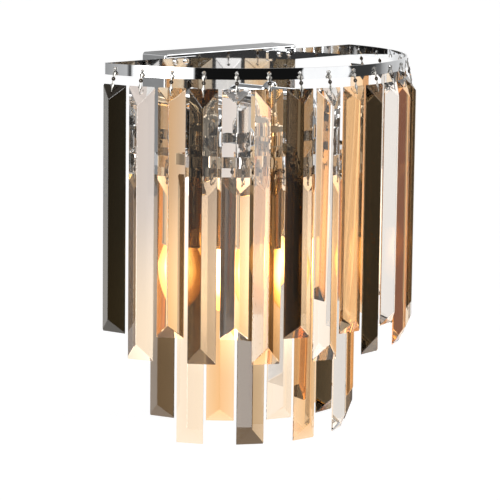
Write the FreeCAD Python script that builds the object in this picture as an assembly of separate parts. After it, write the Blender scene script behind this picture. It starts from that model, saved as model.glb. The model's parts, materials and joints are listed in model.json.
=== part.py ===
# Two-tier crystal wall sconce, half round in plan, lit by two downward candle lamps.
# Millimetres. The wall is the plane y = 0, the room is towards -y, z is up,
# and x = y = z = 0 is the middle of the back of the wall bracket.
import FreeCAD, Part
import math
import os

os.makedirs("parts", exist_ok=True)
V = FreeCAD.Vector
DOWN = V(0, 0, -1)
UP = V(0, 0, 1)
TO_ROOM = V(0, -1, 0)
TO_WALL = V(0, 1, 0)

# Back plate: a shallow pressed pan, open towards the wall.
plate_width = 160.0
plate_height = 120.0
plate_depth = 26.0
plate_sheet = 1.2
plate_corner_r = 3.0
plate_lip_r = 1.6
plate_face_y = -plate_depth
plate_inner_y = -plate_depth + plate_sheet

# Half-round hanging bands, bent from flat strip, one above the other.
band_height = 9.0
band_sheet = 1.5
band_hole_above_edge = 5.5
band_centre_y = plate_face_y + 5.6
band_corner_r = 2.0
band_hole_r = 1.15
upper_radius = 150.0
upper_hole_z = 53.0
lower_radius = 102.0
lower_hole_z = upper_hole_z - 76.0
tab_inner_x = 43.0
tab_screw_x = (57.3, 69.3)

# Crystals: three-sided bars, flat side inwards, both ends cut back to the ridge.
crystal_width = 22.8
crystal_depth = 8.6
crystal_edge = 0.9
short_length = 200.0
long_length = 220.0
short_bevel = 11.5
long_bevel = 15.0
hole_below_top = 6.0
hole_waist_r = 0.56
hole_mouth_r = 1.36
pivot_from_back = 2.83
upper_count = 18
upper_first_deg = 6.9
lower_count = 12
lower_first_deg = 13.6

# Bow clip that links a band hole with a crystal hole.
clip_drop = 18.6
clip_wire = 0.7
clip_gap = 0.1
clip_lean = 4.3

# Lamps: bent arm, cup, candle sleeve, holder and candle bulb pointing down.
lamp_x = 47.0
lamp_y = -74.0
arm_z = 21.0
arm_r = 5.0
arm_bore_r = 3.6
arm_bend = 14.0
cup_top_z = 5.0
cup_r = 15.5
cup_drop = 18.0
sleeve_r = 12.5
sleeve_sheet = 1.0
sleeve_top_z = -8.0
sleeve_bottom_z = -97.0
holder_top_z = -52.0
cap_top_z = -62.0
cap_r = 6.9
glass_neck_z = -85.0
glass_r = 17.5
bulb_belly_z = -114.0
bulb_tip_z = -150.0
bulb_wall = 0.9

# Fixings behind the plate.
bracket_sheet = 1.5
bracket_slot_x = 40.0
bracket_slot_length = 14.0
bracket_slot_width = 4.5
cable_hole_z = 32.0
cable_bore_r = 4.0
fixing_x = 12.0
fixing_y = -8.0


def save(name, shapes):
    solids = []
    for shape in shapes:
        solids.extend(shape.Solids)
    result = solids[0] if len(solids) == 1 else Part.makeCompound(solids)
    result.exportStep("parts/" + name + ".step")


def edges_along(shape, direction, keep=None):
    found = []
    for edge in shape.Edges:
        if not isinstance(edge.Curve, Part.Line):
            continue
        along = edge.tangentAt(edge.FirstParameter)
        if abs(abs(along.dot(direction)) - 1) > 1e-6:
            continue
        if keep is None or keep(edge.CenterOfMass):
            found.append(edge)
    return found


def revolve(points, axis_x=0.0, axis_y=0.0):
    # points are (radius, z) pairs of a closed outline, turned about a vertical axis
    outline = [V(axis_x + r, axis_y, z) for r, z in points]
    face = Part.Face(Part.makePolygon(outline + [outline[0]]))
    return face.revolve(V(axis_x, axis_y, 0), UP, 360)


def hex_nut(across_flats, height, bore_r, place, direction):
    corner = across_flats / 2 / math.cos(math.pi / 6)
    ring = [V(corner * math.cos(math.radians(60 * i)), corner * math.sin(math.radians(60 * i)), 0)
            for i in range(7)]
    body = Part.Face(Part.makePolygon(ring)).extrude(V(0, 0, height))
    body = body.cut(Part.makeCylinder(bore_r, height + 2, V(0, 0, -1)))
    body.Placement = FreeCAD.Placement(place, FreeCAD.Rotation(UP, direction))
    return body


def pan_screw(shank_r, length, place, direction):
    # head stands out along direction from place, the shank runs the other way
    head_r = shank_r * 1.75
    head_h = shank_r * 1.2
    outline = [V(0, 0, -length), V(shank_r, 0, -length), V(shank_r, 0, 0), V(head_r, 0, 0),
               V(head_r, 0, head_h * 0.45), V(head_r * 0.72, 0, head_h), V(0, 0, head_h)]
    body = Part.Face(Part.makePolygon(outline + [outline[0]])).revolve(V(0, 0, 0), UP, 360)
    for turn in (0, 90):
        slot = Part.makeBox(head_r * 1.1, 0.5, head_h, V(-head_r * 0.55, -0.25, head_h * 0.4))
        slot.rotate(V(0, 0, 0), UP, turn)
        body = body.cut(slot)
    body.Placement = FreeCAD.Placement(place, FreeCAD.Rotation(UP, direction))
    return body


def half_round(radius, chord_y, corner_r, low_z, height):
    # solid bounded by the wall-side chord and an arc about (0, band_centre_y)
    half = math.sqrt(radius ** 2 - (chord_y - band_centre_y) ** 2)
    left = V(-half, chord_y, low_z)
    right = V(half, chord_y, low_z)
    front = V(0, band_centre_y - radius, low_z)
    outline = Part.Wire([Part.Arc(left, front, right).toShape(), Part.makeLine(right, left)])
    body = Part.Face(outline).extrude(V(0, 0, height))
    corners = edges_along(body, UP, lambda c: abs(abs(c.x) - half) < 0.01)
    return body.makeFillet(corner_r, corners)


def around(radius, angle_deg, z):
    # angle 0 is the left end of the half round, 180 the right end
    a = math.radians(angle_deg)
    return V(-radius * math.cos(a), band_centre_y - radius * math.sin(a), z)


def facing(angle_deg):
    # turns the local outward direction -y to the outward direction at this angle
    return FreeCAD.Rotation(UP, angle_deg - 90)


def hang_angles(count, first_deg):
    step = (180 - 2 * first_deg) / (count - 1)
    return [first_deg + step * i for i in range(count)]


def hanging_band(radius, hole_z, angles):
    low = hole_z - band_hole_above_edge
    outer = half_round(radius, plate_face_y, band_corner_r, low, band_height)
    inner = half_round(radius - band_sheet, plate_face_y - band_sheet, band_corner_r - band_sheet,
                       low - 1, band_height + 2)
    band = outer.cut(inner)
    gap = Part.makeBox(2 * tab_inner_x, 6, band_height + 2, V(-tab_inner_x, plate_face_y - 4, low - 1))
    band = band.cut(gap)
    tab_ends = edges_along(band, TO_ROOM, lambda c: abs(abs(c.x) - tab_inner_x) < 0.01)
    band = band.makeFillet(1.5, tab_ends)
    for angle in angles:
        start = around(radius + 2, angle, hole_z)
        inward = around(radius - 4, angle, hole_z) - start
        band = band.cut(Part.makeCylinder(band_hole_r, 6, start, inward))
    for x in tab_screw_x:
        for side in (-1, 1):
            hole = Part.makeCylinder(1.6, 6, V(side * x, plate_face_y + 2, hole_z), TO_ROOM)
            band = band.cut(hole)
    return band


def crystal_bar(length, bevel):
    # local frame: hole centre at z = 0, flat back on y = 0, ridge at y = -crystal_depth
    top = hole_below_top
    half = crystal_width / 2
    outline = [V(-half, 0, top), V(half, 0, top), V(half, -crystal_edge, top),
               V(0, -crystal_depth, top), V(-half, -crystal_edge, top)]
    body = Part.Face(Part.makePolygon(outline + [outline[0]])).extrude(V(0, 0, -length))
    reach = crystal_depth + 2
    fall = bevel * reach / crystal_depth
    for end, sign in ((top, -1), (top - length, 1)):
        wedge = [V(-half - 1, 0, end), V(-half - 1, -reach, end), V(-half - 1, -reach, end + sign * fall)]
        cut = Part.Face(Part.makePolygon(wedge + [wedge[0]])).extrude(V(crystal_width + 2, 0, 0))
        body = body.cut(cut)
    # drilled from both sides, so the hole is narrowest where the clip wire bears
    back = Part.makeCone(hole_waist_r, hole_mouth_r, pivot_from_back, V(0, -pivot_from_back, 0), TO_WALL)
    front = Part.makeCone(hole_waist_r, hole_mouth_r, pivot_from_back, V(0, -pivot_from_back, 0), TO_ROOM)
    return body.cut(back).cut(front)


def bow_clip():
    # local frame: band hole at the origin, band's outer face on y = 0, outward is -y
    slope = math.degrees(math.atan2(clip_lean, clip_drop))
    run = math.hypot(clip_lean, clip_drop)
    half = clip_wire / 2
    # half widths of the two drop-shaped lobes, from the band hole down to the crystal hole
    widths = [(-half, half), (1.6, half), (4.2, 1.2), (6.6, 1.8), (8.2, 1.3), (9.0, 0.6),
              (11.2, 0.6), (12.2, 1.5), (14.2, 2.0), (16.4, 1.1), (run - 1.0, half), (run + half, half)]
    right = [V(w, 0, -s) for s, w in widths]
    left = [V(-w, 0, -s) for s, w in reversed(widths)]
    strap = Part.Face(Part.makePolygon(right + left + [right[0]])).extrude(V(0, -0.8, 0))
    bead_ring = [V(1.75 * math.sin(math.radians(36 * i)), 0.15, -10.1 + 1.75 * math.cos(math.radians(36 * i)))
                 for i in range(11)]
    bead = Part.Face(Part.makePolygon(bead_ring)).extrude(V(0, -1.5, 0))
    strap = strap.fuse(bead)
    # lean the strap outwards over the crystal's sloping end
    strap.rotate(V(0, 0, 0), V(1, 0, 0), -slope)
    strap.translate(V(0, -clip_gap, 0))
    # upper wire lies on the bottom of the band hole and turns down behind the band
    wire_z = -band_hole_r + half
    through = band_sheet + 1.4
    upper = Part.makeBox(clip_wire, through + 0.7, clip_wire, V(-half, -0.7, wire_z - half))
    upper_tail = Part.makeBox(clip_wire, clip_wire, 3.2, V(-half, through - clip_wire, wire_z - half - 2.5))
    # lower wire carries the crystal at the waist of its hole and turns up behind it
    tail_y = 1.9
    front_y = -clip_lean - 0.6
    lower = Part.makeBox(clip_wire, tail_y - front_y, clip_wire, V(-half, front_y, -clip_drop - half))
    lower_tail = Part.makeBox(clip_wire, clip_wire, 2.6, V(-half, tail_y - clip_wire, -clip_drop - half))
    return strap.fuse(upper).fuse(upper_tail).fuse(lower).fuse(lower_tail).removeSplitter()


def place_at(shape, radius, angle, z):
    copy = shape.copy()
    copy.Placement = FreeCAD.Placement(around(radius, angle, z), facing(angle))
    return copy


def back_plate(upper_z, lower_z):
    outer = Part.makeBox(plate_width, plate_depth, plate_height,
                         V(-plate_width / 2, -plate_depth, -plate_height / 2))
    outer = outer.makeFillet(plate_corner_r, edges_along(outer, TO_WALL))
    rim = [e for e in outer.Edges if abs(e.BoundBox.YMin - plate_face_y) < 1e-6 and e.BoundBox.YLength < 1e-6]
    outer = outer.makeFillet(plate_lip_r, rim)
    t = plate_sheet
    inner = Part.makeBox(plate_width - 2 * t, plate_depth, plate_height - 2 * t,
                         V(-plate_width / 2 + t, plate_inner_y, -plate_height / 2 + t))
    inner = inner.makeFillet(plate_corner_r - t, edges_along(inner, TO_WALL))
    rim = [e for e in inner.Edges if abs(e.BoundBox.YMin - plate_inner_y) < 1e-6 and e.BoundBox.YLength < 1e-6]
    inner = inner.makeFillet(plate_lip_r - t, rim)
    pan = outer.cut(inner)
    for side in (-1, 1):
        pan = pan.cut(Part.makeCylinder(arm_r, 6, V(side * lamp_x, plate_face_y - 2, arm_z), TO_WALL))
        for z in (upper_z, lower_z):
            for x in tab_screw_x:
                pan = pan.cut(Part.makeCylinder(1.5, 6, V(side * x, plate_face_y - 2, z), TO_WALL))
        pan = pan.cut(Part.makeCylinder(2.1, 6, V(side * fixing_x, fixing_y, -plate_height / 2 - 2), UP))
    return pan


def wall_bracket():
    reach = plate_height / 2 - plate_sheet
    s = bracket_sheet
    across = Part.makeBox(120, s, 30, V(-60, -s, -15))
    across = across.makeFillet(4, edges_along(across, TO_WALL))
    upright = Part.makeBox(40, s, 2 * reach, V(-20, -s, -reach))
    bracket = across.fuse(upright)
    for low in (reach - s, -reach):
        bracket = bracket.fuse(Part.makeBox(40, 13, s, V(-20, -13, low)))
    bracket = bracket.removeSplitter()
    half = bracket_slot_width / 2
    for side in (-1, 1):
        centre = side * bracket_slot_x
        flat = bracket_slot_length - bracket_slot_width
        slot = Part.makeBox(flat, 6, bracket_slot_width, V(centre - flat / 2, -4, -half))
        for end in (-1, 1):
            slot = slot.fuse(Part.makeCylinder(half, 6, V(centre + end * flat / 2, -4, 0), TO_WALL))
        bracket = bracket.cut(slot)
        bracket = bracket.cut(Part.makeCylinder(1.65, 6, V(side * fixing_x, fixing_y, -reach - 2), UP))
    bracket = bracket.cut(Part.makeCylinder(6.0, 6, V(0, -4, cable_hole_z), TO_WALL))
    return bracket.cut(Part.makeCylinder(1.65, 6, V(12, -4, -20), TO_WALL))


def cable_grommet():
    seat = Part.makeCylinder(6.0, bracket_sheet, V(0, -bracket_sheet, cable_hole_z), TO_WALL)
    collar = Part.makeCone(7.0, 8.0, 2.0, V(0, -bracket_sheet - 2.0, cable_hole_z), TO_WALL)
    bore = Part.makeCylinder(cable_bore_r, 8, V(0, -6, cable_hole_z), TO_WALL)
    return seat.fuse(collar).cut(bore)


def terminal_block():
    body = Part.makeBox(33, 13, 14, V(-16.5, -bracket_sheet - 13, -42))
    for pole in (-1, 0, 1):
        rib = Part.makeBox(8.4, 2.0, 9, V(pole * 11 - 4.2, -bracket_sheet - 15, -39.5))
        body = body.fuse(rib)
    for pole in (-1, 0, 1):
        for z in (-37.6, -32.4):
            body = body.cut(Part.makeCylinder(1.7, 6, V(pole * 11, -bracket_sheet - 16, z), TO_WALL))
        body = body.cut(Part.makeCylinder(1.6, 16, V(pole * 11, -bracket_sheet - 6, -43), UP))
    return body


def lamp_arm(side):
    x = side * lamp_x
    start = V(x, -15.0, arm_z)
    bend_in = V(x, lamp_y + arm_bend, arm_z)
    turn = arm_bend * math.sqrt(0.5)
    middle = V(x, lamp_y + arm_bend - turn, arm_z - arm_bend + turn)
    bend_out = V(x, lamp_y, arm_z - arm_bend)
    end = V(x, lamp_y, cup_top_z - 4)
    path = Part.Wire([Part.makeLine(start, bend_in), Part.Arc(bend_in, middle, bend_out).toShape(),
                      Part.makeLine(bend_out, end)])
    tube = []
    for radius in (arm_r, arm_bore_r):
        ring = Part.Wire(Part.makeCircle(radius, start, TO_ROOM))
        tube.append(path.makePipeShell([ring], True, False))
    return tube[0].cut(tube[1])


def arm_collar(side):
    outline = [V(arm_r, 0, 0), V(9.5, 0, 0), V(9.5, 0, 1.2), V(7.5, 0, 3.2), V(arm_r, 0, 3.6)]
    ring = Part.Face(Part.makePolygon(outline + [outline[0]])).revolve(V(0, 0, 0), UP, 360)
    ring.Placement = FreeCAD.Placement(V(side * lamp_x, plate_face_y, arm_z), FreeCAD.Rotation(UP, TO_ROOM))
    return ring


def lamp_cup(side):
    # spun cup: small neck round the arm, rounded shoulder, straight skirt over the sleeve
    wall = 1.0
    skirt_z = cup_top_z - cup_drop
    shoulder = 9.0
    outer = []
    inner = []
    for i in range(5):
        a = math.radians(22.5 * i)
        r = arm_r + 2 + (cup_r - arm_r - 2) * math.sin(a)
        z = cup_top_z - shoulder + (shoulder - 1.5) * math.cos(a)
        outer.append((r, z))
        inner.append((r - wall * math.sin(a) * 0.9 - 0.1, z - wall * (0.25 + 0.75 * math.cos(a))))
    outline = [(arm_r, cup_top_z), (arm_r + 1.6, cup_top_z)] + outer
    outline += [(cup_r, skirt_z + 1), (cup_r + 0.5, skirt_z), (cup_r - wall, skirt_z)]
    outline += list(reversed(inner)) + [(arm_r, cup_top_z - 3.0)]
    return revolve(outline, side * lamp_x, lamp_y)


def candle_sleeve(side):
    inner = sleeve_r - sleeve_sheet
    low = sleeve_bottom_z
    outline = [(inner, low), (sleeve_r + 0.2, low), (sleeve_r + 0.8, low + 0.9), (sleeve_r + 0.2, low + 2.0),
               (sleeve_r, low + 2.4), (sleeve_r, sleeve_top_z), (inner, sleeve_top_z)]
    return revolve(outline, side * lamp_x, lamp_y)


def sleeve_disc(side):
    # thin disc that centres the sleeve under the cup
    outline = [(arm_r, sleeve_top_z), (sleeve_r, sleeve_top_z), (sleeve_r, sleeve_top_z + 1.2),
               (cup_r - 1.0, sleeve_top_z + 1.2), (cup_r - 1.0, sleeve_top_z + 2.4), (arm_r, sleeve_top_z + 2.4)]
    return revolve(outline, side * lamp_x, lamp_y)


def lamp_nipple(side):
    outline = [(arm_bore_r - 0.2, cup_top_z - 4), (arm_r, cup_top_z - 4), (arm_r, holder_top_z),
               (arm_bore_r - 0.2, holder_top_z)]
    return revolve(outline, side * lamp_x, lamp_y)


def lampholder(side):
    rim = sleeve_r - sleeve_sheet
    low = glass_neck_z + 2.0
    bore = cap_r + 0.45
    outline = [(arm_bore_r, holder_top_z), (arm_r + 2.5, holder_top_z), (arm_r + 2.5, holder_top_z - 5),
               (rim, holder_top_z - 7), (rim, holder_top_z - 10), (rim - 1.2, holder_top_z - 10),
               (rim - 1.2, low), (bore, low), (bore, cap_top_z + 0.4), (arm_bore_r, cap_top_z + 0.4)]
    return revolve(outline, side * lamp_x, lamp_y)


def bulb_cap(side):
    # screw cap with three rounded thread crests and a centre contact
    outline = [(0, cap_top_z), (2.2, cap_top_z), (2.8, cap_top_z - 1.4), (5.6, cap_top_z - 3.0)]
    for crest in range(3):
        z = cap_top_z - 4.2 - 4.0 * crest
        outline += [(cap_r - 0.7, z), (cap_r, z - 1.2), (cap_r, z - 2.0), (cap_r - 0.7, z - 3.2)]
    outline += [(cap_r, cap_top_z - 18.0), (cap_r, glass_neck_z), (0, glass_neck_z)]
    return revolve(outline, side * lamp_x, lamp_y)


def bulb_outline(x, inset):
    # neck, shoulder, long taper and ball tip of the candle bulb, moved inwards by inset
    neck_r = cap_r - 0.3 - inset
    belly_r = glass_r - inset
    ball_r = 3.2 - inset * 0.5
    ball_z = bulb_tip_z + inset + ball_r
    ball = [(ball_r * math.sin(a), ball_z - ball_r * math.cos(a)) for a in (1.05, 0.5, 0.0)]
    neck = [(neck_r, glass_neck_z), (neck_r + 0.5, glass_neck_z - 6)]
    shoulder = [neck[1], (neck_r + 6.0, -101.5), (belly_r, bulb_belly_z)]
    taper = [shoulder[2], (belly_r * 0.79, bulb_belly_z - 19), ball[0]]
    edges = [Part.makeLine(*[V(x + r, lamp_y, z) for r, z in neck])]
    for arc in (shoulder, taper, ball):
        edges.append(Part.Arc(*[V(x + r, lamp_y, z) for r, z in arc]).toShape())
    return edges


def bulb_glass(side):
    # thin candle-shaped envelope, open at the neck where the cap closes it
    x = side * lamp_x
    outer = bulb_outline(x, 0.0)
    inner = bulb_outline(x, bulb_wall)
    ends = [Part.makeLine(V(x + cap_r - 0.3, lamp_y, glass_neck_z),
                          V(x + cap_r - 0.3 - bulb_wall, lamp_y, glass_neck_z)),
            Part.makeLine(V(x, lamp_y, bulb_tip_z), V(x, lamp_y, bulb_tip_z + bulb_wall))]
    face = Part.Face(Part.Wire(Part.sortEdges(outer + inner + ends)[0]))
    return face.revolve(V(x, lamp_y, 0), UP, 360)


def lamp_lead(side):
    # flexible twin lead in one bow from the end of the arm, ending flush on the terminal block's side
    start = V(side * (lamp_x - 1), -13.0, arm_z - 3)
    bow = Part.Arc(start, V(side * 38, -9.0, -16), V(side * 15.0, -8.0, -36)).toShape()
    ring = Part.Wire(Part.makeCircle(1.8, start, bow.tangentAt(bow.FirstParameter)))
    return Part.Wire(bow).makePipeShell([ring], True, False).cut(terminal_block())


upper_angles = hang_angles(upper_count, upper_first_deg)
lower_angles = hang_angles(lower_count, lower_first_deg)

save("back_plate", [back_plate(upper_hole_z, lower_hole_z)])
save("wall_bracket", [wall_bracket()])
save("cable_grommet", [cable_grommet()])
save("terminal_block", [terminal_block()])
save("earth_screw", [pan_screw(1.6, bracket_sheet, V(12, -bracket_sheet, -20), TO_ROOM)])
save("plate_fixing_screws",
     [pan_screw(1.6, 7.0, V(side * fixing_x, fixing_y, -plate_height / 2), DOWN) for side in (-1, 1)])

save("upper_band", [hanging_band(upper_radius, upper_hole_z, upper_angles)])
save("lower_band", [hanging_band(lower_radius, lower_hole_z, lower_angles)])
spots = [V(side * x, plate_face_y - band_sheet, z) for z in (upper_hole_z, lower_hole_z)
         for side in (-1, 1) for x in tab_screw_x]
save("band_screws", [pan_screw(1.5, 8.0, spot, TO_ROOM) for spot in spots])
save("band_nuts", [hex_nut(5.5, 2.4, 1.5, V(s.x, plate_inner_y, s.z), TO_WALL) for s in spots])

for side, name in ((-1, "left"), (1, "right")):
    save("lamp_arm_" + name, [lamp_arm(side)])
    save("lamp_cup_" + name, [lamp_cup(side)])
    save("candle_sleeve_" + name, [candle_sleeve(side)])
    save("lampholder_" + name, [lampholder(side)])
    save("bulb_cap_" + name, [bulb_cap(side)])
    save("bulb_glass_" + name, [bulb_glass(side)])
save("arm_collars", [arm_collar(side) for side in (-1, 1)])
save("arm_nuts", [hex_nut(14, 4, arm_r, V(side * lamp_x, plate_inner_y, arm_z), TO_WALL) for side in (-1, 1)])
save("sleeve_discs", [sleeve_disc(side) for side in (-1, 1)])
save("lamp_nipples", [lamp_nipple(side) for side in (-1, 1)])
save("lamp_leads", [lamp_lead(side) for side in (-1, 1)])

clip = bow_clip()
save("upper_clips", [place_at(clip, upper_radius, angle, upper_hole_z) for angle in upper_angles])
save("lower_clips", [place_at(clip, lower_radius, angle, lower_hole_z) for angle in lower_angles])

short_bar = crystal_bar(short_length, short_bevel)
long_bar = crystal_bar(long_length, long_bevel)
for tier, radius, hole_z, angles in (("upper", upper_radius, upper_hole_z, upper_angles),
                                     ("lower", lower_radius, lower_hole_z, lower_angles)):
    for number, angle in enumerate(angles, start=1):
        bar = short_bar if number % 2 else long_bar
        hung = place_at(bar, radius, angle, hole_z - clip_drop)
        save("%s_crystal_%02d" % (tier, number), [hung])
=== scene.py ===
import json
import math
import bmesh
import bpy
from mathutils import Matrix, Vector


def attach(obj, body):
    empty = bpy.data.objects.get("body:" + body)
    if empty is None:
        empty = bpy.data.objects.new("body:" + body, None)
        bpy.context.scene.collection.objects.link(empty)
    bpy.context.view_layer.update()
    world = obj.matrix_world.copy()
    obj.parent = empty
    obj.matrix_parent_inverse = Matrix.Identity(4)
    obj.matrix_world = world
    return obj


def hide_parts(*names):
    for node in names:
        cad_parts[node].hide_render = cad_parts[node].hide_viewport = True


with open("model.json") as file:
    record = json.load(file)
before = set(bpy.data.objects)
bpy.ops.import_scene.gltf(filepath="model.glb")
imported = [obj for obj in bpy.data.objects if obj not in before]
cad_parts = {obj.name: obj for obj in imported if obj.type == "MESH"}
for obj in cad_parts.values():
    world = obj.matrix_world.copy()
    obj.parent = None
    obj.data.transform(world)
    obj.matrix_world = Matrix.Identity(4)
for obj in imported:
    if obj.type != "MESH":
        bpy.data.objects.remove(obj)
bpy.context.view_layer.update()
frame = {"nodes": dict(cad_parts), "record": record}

scene = bpy.context.scene
mm = 0.001
white = (1.0, 1.0, 1.0, 1.0)
sideways = Vector((1, 0, 0))


# ---- node helpers

def new_material(name):
    mat = bpy.data.materials.new(name)
    mat.use_nodes = True
    mat.node_tree.nodes.clear()
    out = mat.node_tree.nodes.new("ShaderNodeOutputMaterial")
    bsdf = mat.node_tree.nodes.new("ShaderNodeBsdfPrincipled")
    mat.node_tree.links.new(bsdf.outputs["BSDF"], out.inputs["Surface"])
    return mat, bsdf


def glow_material(name):
    # a surface that only shines; the caller sets or links its colour and strength
    mat = bpy.data.materials.new(name)
    mat.use_nodes = True
    mat.node_tree.nodes.clear()
    out = mat.node_tree.nodes.new("ShaderNodeOutputMaterial")
    glow = mat.node_tree.nodes.new("ShaderNodeEmission")
    mat.node_tree.links.new(glow.outputs[0], out.inputs["Surface"])
    return mat, glow


def noise(mat, scale, detail=3.0, stretch=(1, 1, 1)):
    nodes, links = mat.node_tree.nodes, mat.node_tree.links
    coord = nodes.new("ShaderNodeTexCoord")
    mapping = nodes.new("ShaderNodeMapping")
    mapping.inputs["Scale"].default_value = stretch
    tex = nodes.new("ShaderNodeTexNoise")
    tex.inputs["Scale"].default_value = scale
    tex.inputs["Detail"].default_value = detail
    links.new(coord.outputs["Object"], mapping.inputs["Vector"])
    links.new(mapping.outputs["Vector"], tex.inputs["Vector"])
    return tex.outputs["Fac"]


def ramp(mat, value, stops):
    node = mat.node_tree.nodes.new("ShaderNodeValToRGB")
    elements = node.color_ramp.elements
    while len(elements) < len(stops):
        elements.new(0.5)
    for element, (position, colour) in zip(elements, stops):
        element.position = position
        element.color = tuple(colour) + (1.0,)
    mat.node_tree.links.new(value, node.inputs["Fac"])
    return node.outputs["Color"]


def spread(mat, value, low, high):
    node = mat.node_tree.nodes.new("ShaderNodeMapRange")
    node.inputs["To Min"].default_value = low
    node.inputs["To Max"].default_value = high
    mat.node_tree.links.new(value, node.inputs["Value"])
    return node.outputs["Result"]


def ease(mat, value, start, end, low=0.0, high=1.0):
    # goes smoothly from low to high while the value goes from start to end
    node = mat.node_tree.nodes.new("ShaderNodeMapRange")
    node.interpolation_type = "SMOOTHSTEP"
    for key, number in (("From Min", start), ("From Max", end), ("To Min", low), ("To Max", high)):
        node.inputs[key].default_value = number
    mat.node_tree.links.new(value, node.inputs["Value"])
    return node.outputs["Result"]


def blend(mat, share, first, second):
    node = mat.node_tree.nodes.new("ShaderNodeMix")
    node.data_type = "RGBA"
    mat.node_tree.links.new(share, node.inputs["Factor"])
    mat.node_tree.links.new(first, node.inputs["A"])
    mat.node_tree.links.new(second, node.inputs["B"])
    return node.outputs["Result"]


def mix_by_mark(mat, mark, plain, marked):
    # colour output that turns from plain to marked where the mesh carries the mark
    reader = mat.node_tree.nodes.new("ShaderNodeAttribute")
    reader.attribute_name = mark
    return blend(mat, reader.outputs["Fac"], plain, marked)


def bump(mat, bsdf, value, depth):
    node = mat.node_tree.nodes.new("ShaderNodeBump")
    node.inputs["Strength"].default_value = 1.0
    node.inputs["Distance"].default_value = depth
    mat.node_tree.links.new(value, node.inputs["Height"])
    mat.node_tree.links.new(node.outputs["Normal"], bsdf.inputs["Normal"])


def seen_directly(tree):
    # 1 for what the camera, a reflection or a view through glass shows, 0 for what lights the scene
    path = tree.nodes.new("ShaderNodeLightPath")
    total = path.outputs["Is Camera Ray"]
    for key in ("Is Glossy Ray", "Is Transmission Ray"):
        node = tree.nodes.new("ShaderNodeMath")
        node.operation = "MAXIMUM"
        tree.links.new(total, node.inputs[0])
        tree.links.new(path.outputs[key], node.inputs[1])
        total = node.outputs[0]
    return total


# ---- kinds of surface

def metal(name, dark, light, rough_low, rough_high, scale, depth):
    mat, bsdf = new_material(name)
    fine = noise(mat, scale, 4.0)
    mat.node_tree.links.new(ramp(mat, fine, [(0.3, dark), (0.7, light)]), bsdf.inputs["Base Color"])
    mat.node_tree.links.new(spread(mat, fine, rough_low, rough_high), bsdf.inputs["Roughness"])
    bsdf.inputs["Metallic"].default_value = 1.0
    bump(mat, bsdf, fine, depth)
    return mat


def moulded(name, dark, light, rough_low, rough_high, scale, depth):
    mat = metal(name, dark, light, rough_low, rough_high, scale, depth)
    for node in mat.node_tree.nodes:
        if node.type == "BSDF_PRINCIPLED":
            node.inputs["Metallic"].default_value = 0.0
    return mat


def bar_glass(name, dark, light, body_colour, density, pale=None):
    # tinted and polished glass, whose colour also deepens with the length of the light's way through it;
    # the last argument is a lighter tint painted on the faces that carry the mark of its name: painted
    # light on one side of a bar
    mat, bsdf = new_material(name)
    drift = noise(mat, 9.0, 2.0, (1, 1, 0.35))
    tint = ramp(mat, drift, [(0.35, dark), (0.65, light)])
    # painted light: a lighter tint on the faces that carry the mark
    if pale:
        painted_light_tint = ramp(mat, drift, [(0.35, pale), (0.65, [tone * 1.05 for tone in pale])])
        tint = mix_by_mark(mat, "pale", tint, painted_light_tint)
    mat.node_tree.links.new(tint, bsdf.inputs["Base Color"])
    polish = noise(mat, 30.0, 1.0)
    mat.node_tree.links.new(spread(mat, polish, 0.0, 0.015), bsdf.inputs["Roughness"])
    bsdf.inputs["Transmission Weight"].default_value = 1.0
    bsdf.inputs["IOR"].default_value = 1.50
    body = mat.node_tree.nodes.new("ShaderNodeVolumeAbsorption")
    body.inputs["Color"].default_value = tuple(body_colour) + (1.0,)
    body.inputs["Density"].default_value = density
    out = [n for n in mat.node_tree.nodes if n.type == "OUTPUT_MATERIAL"][0]
    mat.node_tree.links.new(body.outputs["Volume"], out.inputs["Volume"])
    return mat


def lit_glass(name):
    strength = 14.0
    mat, bsdf = new_material(name)
    facing = mat.node_tree.nodes.new("ShaderNodeLayerWeight")
    facing.inputs["Blend"].default_value = 0.35
    # white-hot along the middle, gold beside it and dim at the outline
    glow = ramp(mat, facing.outputs["Facing"],
                [(0.0, (1.0, 0.84, 0.52)), (0.05, (0.95, 0.74, 0.38)), (0.16, (0.36, 0.21, 0.07)),
                 (0.45, (0.17, 0.085, 0.02)), (1.0, (0.08, 0.035, 0.008))])
    mat.node_tree.links.new(glow, bsdf.inputs["Emission Color"])
    bsdf.inputs["Emission Strength"].default_value = strength
    frost = noise(mat, 260.0, 3.0)
    mat.node_tree.links.new(ramp(mat, frost, [(0.3, (0.95, 0.88, 0.74)), (0.7, (1.0, 0.94, 0.82))]),
                            bsdf.inputs["Base Color"])
    mat.node_tree.links.new(spread(mat, frost, 0.25, 0.4), bsdf.inputs["Roughness"])
    return mat


def clip_metal(name):
    # bright wire whose eyes are painted dark, as painted shade
    mat, bsdf = new_material(name)
    fine = noise(mat, 400.0, 4.0)
    wire = ramp(mat, fine, [(0.3, (0.26, 0.25, 0.23)), (0.7, (0.44, 0.42, 0.39))])
    painted_shade_eye = ramp(mat, fine, [(0.3, (0.030, 0.022, 0.016)), (0.7, (0.060, 0.046, 0.034))])
    mat.node_tree.links.new(mix_by_mark(mat, "painted_shade_eye", wire, painted_shade_eye), bsdf.inputs["Base Color"])
    mat.node_tree.links.new(spread(mat, fine, 0.14, 0.26), bsdf.inputs["Roughness"])
    bsdf.inputs["Metallic"].default_value = 1.0
    bump(mat, bsdf, fine, 0.000004)
    return mat


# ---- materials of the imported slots; metal and moulded take their two colours, the range of roughness,
# and the scale and depth in metres of their fine grain

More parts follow.
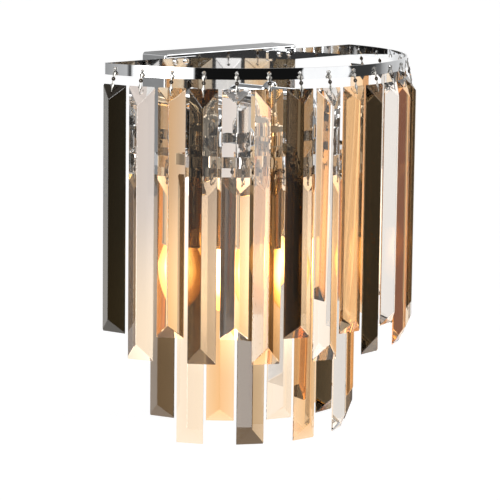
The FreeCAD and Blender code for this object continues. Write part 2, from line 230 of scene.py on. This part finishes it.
finish = {
    "mirror_chrome": metal("mirror_chrome", (0.78, 0.79, 0.80), (0.84, 0.85, 0.86),
                           0.02, 0.05, 60.0, 0.000002),
    "clip_wire": clip_metal("clip_wire"),
    "zinc_steel": metal("zinc_steel", (0.50, 0.51, 0.52), (0.70, 0.71, 0.72),
                        0.28, 0.48, 90.0, 0.00003),
    "black_rubber": moulded("black_rubber", (0.018, 0.018, 0.018), (0.04, 0.04, 0.04),
                            0.45, 0.65, 300.0, 0.00005),
    "white_nylon": moulded("white_nylon", (0.80, 0.79, 0.76), (0.88, 0.87, 0.84),
                           0.35, 0.5, 200.0, 0.00002),
    "brass": metal("brass", (0.70, 0.50, 0.22), (0.84, 0.64, 0.32),
                   0.18, 0.3, 260.0, 0.00001),
    "cap_metal": metal("cap_metal", (0.66, 0.66, 0.64), (0.80, 0.80, 0.78),
                       0.18, 0.32, 260.0, 0.00001),
    "lit_glass": lit_glass("lit_glass"),
    # smoke glass: its last colour is the lighter tint painted on as light on the right facets of its
    # bars
    "smoke_glass": bar_glass("smoke_glass", (0.045, 0.028, 0.012), (0.065, 0.042, 0.02),
                             (0.60, 0.45, 0.20), 30.0, (0.95, 0.80, 0.62)),
    "clear_glass": bar_glass("clear_glass", (0.94, 0.91, 0.88), (0.98, 0.96, 0.94),
                             (0.70, 0.50, 0.26), 12.0),
    "amber_glass": bar_glass("amber_glass", (0.92, 0.74, 0.54), (0.97, 0.81, 0.63),
                             (0.94, 0.60, 0.10), 64.0),
}
# the first bar of the upper tier is nearly black in the photograph; it gets a darker copy of the smoke
# glass, which is painted shade
painted_shade_smoke = bar_glass("smoke_glass_painted_shade", (0.030, 0.026, 0.017), (0.050, 0.043, 0.028),
                       (0.50, 0.40, 0.20), 60.0)
slot_of = {item["node"]: item["material_slot"] for item in frame["record"]["subparts"]}
for node_name, node in frame["nodes"].items():
    for material_slot in node.material_slots:
        material_slot.material = finish[slot_of[node_name]]


# ---- the plan of the two tiers, in millimetres: the same as the solids have

band_centre_y = -20.4
clip_drop = 18.6  # from a band hole down to the hole of its bar
upper_tier = {"radius": 150.0, "hole_z": 53.0, "count": 18, "first_deg": 6.9}
lower_tier = {"radius": 102.0, "hole_z": -23.0, "count": 12, "first_deg": 13.6}


def hanging_place(tier, i, drop):
    # where bar or clip i of a tier hangs, and its turn about the upright
    first_deg = tier["first_deg"]
    angle = first_deg + (180 - 2 * first_deg) / (tier["count"] - 1) * i
    a = math.radians(angle)
    place = Vector((-tier["radius"] * math.cos(a), band_centre_y - tier["radius"] * math.sin(a),
                    tier["hole_z"] - drop))
    return place, math.radians(angle - 90)


# ---- round forms of clips and drill

def close_tube(bm, rings):
    sides = len(rings[0])
    for a, b in zip(rings, rings[1:]):
        for k in range(sides):
            n = (k + 1) % sides
            bm.faces.new((a[k], a[n], b[n], b[k]))
    bm.faces.new(list(reversed(rings[0])))
    bm.faces.new(rings[-1])


def tube(bm, path, radius, sides=8):
    rings = []
    for i, point in enumerate(path):
        before = path[max(i - 1, 0)]
        after = path[min(i + 1, len(path) - 1)]
        along = (after - before).normalized()
        other = along.cross(sideways).normalized()
        rings.append([bm.verts.new(point + (sideways * math.cos(2 * math.pi * k / sides)
                                            + other * math.sin(2 * math.pi * k / sides)) * radius)
                      for k in range(sides)])
    close_tube(bm, rings)


def lens_strip(bm, start, along, stations):
    # flat drop of eight-sided section; stations are (distance, half width, half thickness)
    front = sideways.cross(along).normalized()
    rings = []
    for distance, width, thick in stations:
        centre = start + along * distance
        rings.append([bm.verts.new(centre + sideways * (width * math.cos(math.pi / 4 * k))
                                   + front * (thick * math.sin(math.pi / 4 * k))) for k in range(8)])
    close_tube(bm, rings)


def turned(bm, centre, axis, outline, sides=16):
    # outline is (radius, height along the axis) from pole to pole
    other = axis.cross(sideways).normalized()
    rings = []
    for radius, height in outline:
        middle = centre + axis * height
        if radius == 0:
            rings.append([bm.verts.new(middle)])
            continue
        rings.append([bm.verts.new(middle + (sideways * math.cos(2 * math.pi * k / sides)
                                             + other * math.sin(2 * math.pi * k / sides)) * radius)
                      for k in range(sides)])
    for a, b in zip(rings, rings[1:]):
        for k in range(sides):
            n = (k + 1) % sides
            if len(a) == 1:
                bm.faces.new((a[0], b[n], b[k]))
            elif len(b) == 1:
                bm.faces.new((a[k], a[n], b[0]))
            else:
                bm.faces.new((a[k], a[n], b[n], b[k]))


# ---- glass bars: ground edges and the drilled hole that the clip wire passes, built in millimetres

bar_half_width = 11.4
bar_depth = 8.6
bar_side = 0.9  # thickness of the bar at its left and right edges
bar_above_hole = 6.0
bar_ground = 0.3
drill_centre_y = -2.83
drill_reach = 3.3
drill_mouth_r = 1.493
drill_waist_r = 0.56
# shares of the painted light tint on the flat back of a smoke bar and on every face of the first bar of
# a tier
painted_light_back = 0.38
painted_light_first = 0.12


def bar_shape(length, end_cut):
    # hole centre at the origin, flat back on y = 0, ridge towards -y
    section = ((-bar_half_width, 0.0), (bar_half_width, 0.0), (bar_half_width, -bar_side),
               (0.0, -bar_depth), (-bar_half_width, -bar_side))
    corners = len(section)
    bm = bmesh.new()
    top = [bm.verts.new((x, y, bar_above_hole + end_cut * y / bar_depth)) for x, y in section]
    low = [bm.verts.new((x, y, bar_above_hole - length - end_cut * y / bar_depth)) for x, y in section]
    bm.faces.new(top)
    bm.faces.new(list(reversed(low)))
    for k in range(corners):
        n = (k + 1) % corners
        bm.faces.new((top[k], low[k], low[n], top[n]))
    bmesh.ops.recalc_face_normals(bm, faces=bm.faces)
    bmesh.ops.bevel(bm, geom=list(bm.edges), offset=bar_ground, segments=1, affect="EDGES", profile=0.5)
    mesh = bpy.data.meshes.new("bar_blank")
    bm.to_mesh(mesh)
    bm.free()
    drill = bmesh.new()
    turned(drill, Vector((0, drill_centre_y, 0)), Vector((0, -1, 0)),
           ((0, -drill_reach), (drill_mouth_r, -drill_reach), (drill_waist_r, 0.0),
            (drill_mouth_r, drill_reach), (0, drill_reach)), 20)
    bmesh.ops.recalc_face_normals(drill, faces=drill.faces)
    drill_mesh = bpy.data.meshes.new("drill")
    drill.to_mesh(drill_mesh)
    drill.free()
    blank = bpy.data.objects.new("bar_blank", mesh)
    cutter = bpy.data.objects.new("drill", drill_mesh)
    for obj in (blank, cutter):
        scene.collection.objects.link(obj)
    cut = blank.modifiers.new("hole", "BOOLEAN")
    cut.object = cutter
    cut.operation = "DIFFERENCE"
    cut.solver = "EXACT"
    bpy.context.view_layer.update()
    made = bpy.data.meshes.new_from_object(blank.evaluated_get(bpy.context.evaluated_depsgraph_get()))
    for obj in (blank, cutter):
        bpy.data.objects.remove(obj)
    return made


def mark_painted_light_faces(mesh, first_of_tier):
    # painted light: the smoke bars look dark through the left facet and pale through the right one, so
    # the right facets and, in part, the flat back get a lighter tint painted on;
    # the first bar of a tier is dark in both and gets only a little of that tint
    pale = mesh.attributes.new("pale", "FLOAT", "FACE")
    for face in mesh.polygons:
        share = painted_light_back if face.normal.y > 0.9 else (1.0 if face.normal.x > 0.3 else 0.0)
        pale.data[face.index].value = painted_light_first if first_of_tier else share


def hang_bars(side, tier):
    for i in range(tier["count"]):
        name = "%s_crystal_%02d" % (side, i + 1)
        place, turn = hanging_place(tier, i, clip_drop)
        mesh = (short_bar if i % 2 == 0 else long_bar).copy()
        mesh.name = name + "_glass"
        slot = slot_of[name]
        # smoke bars get the lighter tint painted on as light on their right facets
        if slot == "smoke_glass":
            mark_painted_light_faces(mesh, i == 0)
        mesh.transform(Matrix.Scale(mm, 4) @ Matrix.Translation(place) @ Matrix.Rotation(turn, 4, "Z"))
        mesh.materials.clear()
        # the first bar of the upper tier takes the darker copy of the smoke glass, as painted shade
        mesh.materials.append(painted_shade_smoke if name == "upper_crystal_01" else finish[slot])
        obj = bpy.data.objects.new(name + "_glass", mesh)
        scene.collection.objects.link(obj)
        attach(obj, name)
        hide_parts(name)


# ---- bow clips: hook, drop, eye, drop and lower hook, built in millimetres round the band hole

hook_r = 0.34
loop_r = 0.36
eye_distance = 7.25  # from the upper hook, along the clip
loop_half_width = 1.2
loop_half_height = 1.25
loop_lean = 0.12
loop_y = -0.8
loop_z = -0.55
clip_top = Vector((0, -0.62, -1.15))
clip_bottom = Vector((0, -4.62, -17.9))
upper_hook = ((2.55, -3.2), (2.6, -1.7), (2.45, -1.0), (1.9, -0.76), (0.2, -0.74), (-0.35, -0.8),
              (-0.62, -1.15), (-0.8, -1.9))
lower_hook = ((-4.45, -17.2), (-4.62, -17.9), (-4.55, -18.4), (-4.1, -18.6), (1.2, -18.6),
              (1.7, -18.45), (1.88, -18.0), (1.9, -16.6))
upper_drop = ((0.4, 0.5, 0.3), (1.28, 1.1, 0.36), (2.1, 1.8, 0.46), (2.93, 2.05, 0.5),
              (3.96, 1.6, 0.46), (4.9, 1.1, 0.4), (5.5, 0.8, 0.34), (6.6, 0.7, 0.34))
lower_drop = ((8.2, 0.7, 0.34), (9.0, 0.8, 0.36), (10.3, 0.9, 0.4), (11.45, 1.5, 0.46),
              (12.5, 1.95, 0.5), (13.5, 1.3, 0.44), (14.75, 0.7, 0.38))
eye_ring = ((0, -1.1), (1.2, -1.0), (1.6, -0.5), (1.7, 0.1), (1.55, 0.55), (1.2, 0.7), (0.85, 0.45),
            (0.7, 0.0), (0, -0.05))
pin_head = ((0, -0.3), (0.5, -0.25), (0.58, 0.3), (0.42, 0.7), (0, 0.85))


def clip_mesh():
    # the mesh of one clip, with the range of the vertices of its eye, which gets the painted shade
    bm = bmesh.new()
    along = (clip_bottom - clip_top).normalized()
    length = (clip_bottom - clip_top).length
    for hook in (upper_hook, lower_hook):
        tube(bm, [Vector((0, y, z)) for y, z in hook], hook_r)
    # ring before the band hole, whose first and last points meet at the bottom
    loop = [Vector((loop_half_width * math.cos(a), loop_y - loop_lean * math.sin(a),
                    loop_z + loop_half_height * math.sin(a)))
            for a in (math.pi / 8 * k for k in range(-4, 13))]
    tube(bm, loop, loop_r)
    lens_strip(bm, clip_top, along, upper_drop)
    lens_strip(bm, clip_top, along, lower_drop + ((length, 0.35, 0.35),))
    outwards = along.cross(sideways).normalized()
    if outwards.y > 0:
        outwards = -outwards
    plain = len(bm.verts)
    turned(bm, clip_top + along * eye_distance, outwards, eye_ring)
    marked = len(bm.verts)
    turned(bm, clip_top + along * eye_distance, outwards, pin_head)
    bmesh.ops.recalc_face_normals(bm, faces=bm.faces)
    bm.verts.index_update()
    return bm, range(plain, marked)


def clip_row(name, node, tier):
    one, painted_shade_eye_verts = clip_mesh()
    verts = [v.co.copy() for v in one.verts]
    faces = [[v.index for v in f.verts] for f in one.faces]
    one.free()
    points, polygons = [], []
    for i in range(tier["count"]):
        place, turn = hanging_place(tier, i, 0.0)
        turn = Matrix.Rotation(turn, 3, "Z")
        base = len(points)
        points += [tuple((turn @ v + place) * mm) for v in verts]
        polygons += [[base + k for k in f] for f in faces]
    mesh = bpy.data.meshes.new(name)
    mesh.from_pydata(points, [], polygons)
    mesh.shade_smooth()
    # the eye vertices carry the mark for the painted shade
    painted_shade_eye = mesh.attributes.new("painted_shade_eye", "FLOAT", "POINT")
    for k in range(tier["count"]):
        for vert in painted_shade_eye_verts:
            painted_shade_eye.data[k * len(verts) + vert].value = 1.0
    mesh.materials.append(finish["clip_wire"])
    obj = bpy.data.objects.new(name, mesh)
    scene.collection.objects.link(obj)
    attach(obj, "wall_frame")
    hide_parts(node)


clip_row("upper_bow_clips", "upper_clips", upper_tier)
clip_row("lower_bow_clips", "lower_clips", lower_tier)

short_length, short_end_cut = 200.0, 11.5
long_length, long_end_cut = 220.0, 15.0
short_bar = bar_shape(short_length, short_end_cut)
long_bar = bar_shape(long_length, long_end_cut)
hang_bars("upper", upper_tier)
hang_bars("lower", lower_tier)


# ---- stage: world and floor, in metres from here on

floor_z = -0.9
floor_half = 15.0
floor_glow = 0.37
ceiling_z = 2.0
ceiling_half = 3.1
ring_radius = 3.0
world_light = 0.7
world_seen = 1.0

world = bpy.data.worlds.new("studio")
scene.world = world
world.use_nodes = True
world.node_tree.nodes.clear()
world_out = world.node_tree.nodes.new("ShaderNodeOutputWorld")
world_mix = world.node_tree.nodes.new("ShaderNodeMixShader")
world.node_tree.links.new(seen_directly(world.node_tree), world_mix.inputs["Fac"])
for socket, strength in ((1, world_light), (2, world_seen)):
    backdrop = world.node_tree.nodes.new("ShaderNodeBackground")
    backdrop.inputs["Color"].default_value = white
    backdrop.inputs["Strength"].default_value = strength
    world.node_tree.links.new(backdrop.outputs[0], world_mix.inputs[socket])
world.node_tree.links.new(world_mix.outputs[0], world_out.inputs["Surface"])


def square(half, z):
    return [(-half, -half, z), (half, -half, z), (half, half, z), (-half, half, z)]


def sheet(name, corners, mat):
    mesh = bpy.data.meshes.new(name)
    mesh.from_pydata(corners, [], [(0, 1, 2, 3)])
    mesh.materials.append(mat)
    return mesh


def staged(name, mesh, only_in_metal_or_glass):
    # a piece of the surroundings; one that shows only in metal or glass neither lights nor shades
    # the object
    obj = bpy.data.objects.new(name, mesh)
    if only_in_metal_or_glass:
        obj.visible_camera = False
        obj.visible_diffuse = False
        obj.visible_shadow = False
    scene.collection.objects.link(obj)
    return obj


floor_mat, floor_bsdf = new_material("floor_pale")
grain = noise(floor_mat, 6.0, 2.0)
floor_grey = ramp(floor_mat, grain, [(0.2, (0.86, 0.86, 0.86)), (0.8, (0.88, 0.88, 0.88))])
floor_mat.node_tree.links.new(floor_grey, floor_bsdf.inputs["Base Color"])
floor_bsdf.inputs["Roughness"].default_value = 0.8
floor_bsdf.inputs["Emission Color"].default_value = white
floor_mat.node_tree.links.new(spread(floor_mat, seen_directly(floor_mat.node_tree), 0.0, floor_glow),
                              floor_bsdf.inputs["Emission Strength"])
staged("floor", sheet("floor", square(floor_half, floor_z), floor_mat), False)


# ---- surroundings that only metal or glass shows

def ring_point(azimuth, z):
    # azimuth 0 is straight in front of the wall and 90 is on the right
    a = math.radians(azimuth)
    return (ring_radius * math.sin(a), -ring_radius * math.cos(a), z)


def studio_ring(name, stops, peak):
    # upright screen all round with bright and dark parts;
    # a stop is an azimuth with a tone or a colour, and peak is the brightest of them or more
    mat, glow = glow_material(name)
    nodes, links = mat.node_tree.nodes, mat.node_tree.links
    around = nodes.new("ShaderNodeUVMap")
    split = nodes.new("ShaderNodeSeparateXYZ")
    around.uv_map = "around"
    links.new(around.outputs["UV"], split.inputs[0])
    colours = [(azimuth, tone if isinstance(tone, tuple) else (tone,) * 3) for azimuth, tone in stops]
    tones = ramp(mat, split.outputs["X"], [((azimuth + 180) / 360, [part / peak for part in colour])
                                           for azimuth, colour in colours])
    links.new(tones, glow.inputs["Color"])
    glow.inputs["Strength"].default_value = peak
    steps = 120
    points = [ring_point(-180 + 360 * i / steps, z)
              for i in range(steps + 1) for z in (floor_z, ceiling_z)]
    faces = [(2 * i, 2 * i + 2, 2 * i + 3, 2 * i + 1) for i in range(steps)]
    mesh = bpy.data.meshes.new(name)
    mesh.from_pydata(points, [], faces)
    layer = mesh.uv_layers.new(name="around")
    for i in range(steps):
        for k, u in enumerate((i, i + 1, i + 1, i)):
            layer.data[4 * i + k].uv = (u / steps, 0.5)
    mesh.materials.append(mat)
    return staged(name, mesh, True)


deep_brown = (0.20, 0.085, 0.02)
glass_tones = (
    # behind the wall on the left, then the left side, up to straight in front
    (-180, 0.9), (-150, 0.9), (-120, 0.6), (-67, 0.9), (-40, 0.5), (0, 0.9), (30, 0.9),
    # front right: a bright box with a dark gap after it
    (34, 0.55), (36, 1.7), (42, 1.7), (45, 1.2), (49, 0.9), (51.5, 0.22), (60, 0.22), (63, 0.95),
    # right side: a brown part and a dark one, then pale again behind the wall
    (81, 0.95), (90, 0.8), (93, deep_brown), (100, deep_brown), (108, 0.07), (122, 0.07),
    (135, 0.4), (148, 0.5), (160, 1.0), (180, 0.9))
metal_tones = (
    # behind the wall on the left
    (-148, 1.2), (-136, 0.28), (-130, 0.3), (-122, 0.46),
    # left side: a thin dark line, then the brightest box
    (-110.4, 0.58), (-109.6, 0.1), (-109.1, 0.02), (-107.9, 0.02), (-107.7, 0.7), (-105, 1.5),
    (-100, 6.5), (-78, 6.5), (-70, 1.6), (-67.1, 1.2),
    # front left: black, as the middle of the bands shows
    (-66.9, 0.008), (0.8, 0.008),
    # front right: a white box with sharp ends, then dark
    (1.0, 1.2), (32.5, 1.2), (32.7, 0.045), (52, 0.047),
    # right side, slowly brighter, and behind the wall
    (58, 0.09), (63, 0.18), (66, 0.37), (72, 0.56), (80, 0.60), (96, 0.72), (124, 0.95),
    (129, 0.55), (132, 0.42), (136, 0.22), (148, 0.6), (180, 1.2))
glass_ring = studio_ring("glass_ring", glass_tones, 2.1)
glass_ring.visible_glossy = False
metal_ring = studio_ring("studio_ring", metal_tones, 6.5)
metal_ring.visible_transmission = False


def wall_behind(name):
    # the wall as the glass shows it: neutral at the top, warm where the bulbs light it,
    # and paler on the far right
    warm_from_z, warm_full_z = -0.05, -0.17
    pale_from_x, pale_full_x = 0.12, 0.40
    mat, glow = glow_material(name)
    nodes, links = mat.node_tree.nodes, mat.node_tree.links
    coord = nodes.new("ShaderNodeTexCoord")
    split = nodes.new("ShaderNodeSeparateXYZ")
    links.new(coord.outputs["Object"], split.inputs[0])
    drop = ease(mat, split.outputs["Z"], warm_from_z, warm_full_z)
    side = ease(mat, split.outputs["X"], pale_from_x, pale_full_x)
    upper = ramp(mat, side, [(0.0, (0.76, 0.70, 0.67)), (1.0, (1.5, 1.46, 1.42))])
    lower = ramp(mat, side, [(0.0, (1.10, 0.92, 0.71)), (1.0, (1.2, 1.08, 0.95))])
    links.new(blend(mat, drop, upper, lower), glow.inputs["Color"])
    # pool of light behind the bulbs
    pool_centre = (0.0, 0.0, -0.11)
    pool_r, pool_core_r = 0.12, 0.02
    beside, inside = 1.0, 2.6
    pool = nodes.new("ShaderNodeVectorMath")
    pool.operation = "DISTANCE"
    pool.inputs[1].default_value = pool_centre
    links.new(coord.outputs["Object"], pool.inputs[0])
    brighter = ease(mat, pool.outputs["Value"], pool_r, pool_core_r, beside, inside)
    links.new(brighter, glow.inputs["Strength"])
    left, right, top, off_wall = -1.5, 0.9, 1.2, 0.001
    corners = [(left, off_wall, floor_z), (right, off_wall, floor_z),
               (right, off_wall, top), (left, off_wall, top)]
    obj = staged(name, sheet(name, corners, mat), True)
    obj.visible_glossy = False


def ceiling(name):
    mat, glow = glow_material(name)
    grey = ramp(mat, noise(mat, 1.5, 2.0), [(0.3, (0.28, 0.28, 0.28)), (0.7, (0.34, 0.34, 0.34))])
    mat.node_tree.links.new(grey, glow.inputs["Color"])
    obj = staged(name, sheet(name, square(ceiling_half, ceiling_z), mat), True)
    obj.visible_transmission = False


wall_behind("wall_behind")
ceiling("studio_ceiling")


# ---- soft lights

lit_point = (0, -0.1, -0.05)
softbox_size = 1.2


def softbox(name, place, watts):
    data = bpy.data.lights.new(name, "AREA")
    data.shape = "RECTANGLE"
    data.size = softbox_size
    data.size_y = softbox_size
    data.energy = watts
    lamp = bpy.data.objects.new(name, data)
    lamp.location = place
    lamp.rotation_euler = (Vector(lit_point) - Vector(place)).to_track_quat("-Z", "Y").to_euler()
    scene.collection.objects.link(lamp)


softbox("key_left", (-1.6, -1.2, 1.2), 18.0)
softbox("fill_right", (1.6, -1.6, 0.6), 10.0)


# ---- camera at the photograph's place

picture_width_px = 500
focal_length_px = 2675.9
sensor_width_mm = 36.0
camera_place = (-1.6302, -1.5510, 0.2395)
yaw, pitch, roll = math.radians(47.334), math.radians(8.8908), math.radians(0.69845)
forward = Vector((math.sin(yaw) * math.cos(pitch), math.cos(yaw) * math.cos(pitch), -math.sin(pitch)))
level = Vector((math.cos(yaw), -math.sin(yaw), 0.0))
upright = level.cross(forward)
right = level * math.cos(roll) + upright * math.sin(roll)
up = upright * math.cos(roll) - level * math.sin(roll)
camera_data = bpy.data.cameras.new("camera")
camera_data.sensor_width = sensor_width_mm
camera_data.lens = focal_length_px / picture_width_px * sensor_width_mm
camera = bpy.data.objects.new("camera", camera_data)
camera.matrix_world = Matrix((right, up, -forward)).transposed().to_4x4()
camera.location = camera_place
scene.collection.objects.link(camera)
scene.camera = camera
scene.view_settings.view_transform = "Standard"
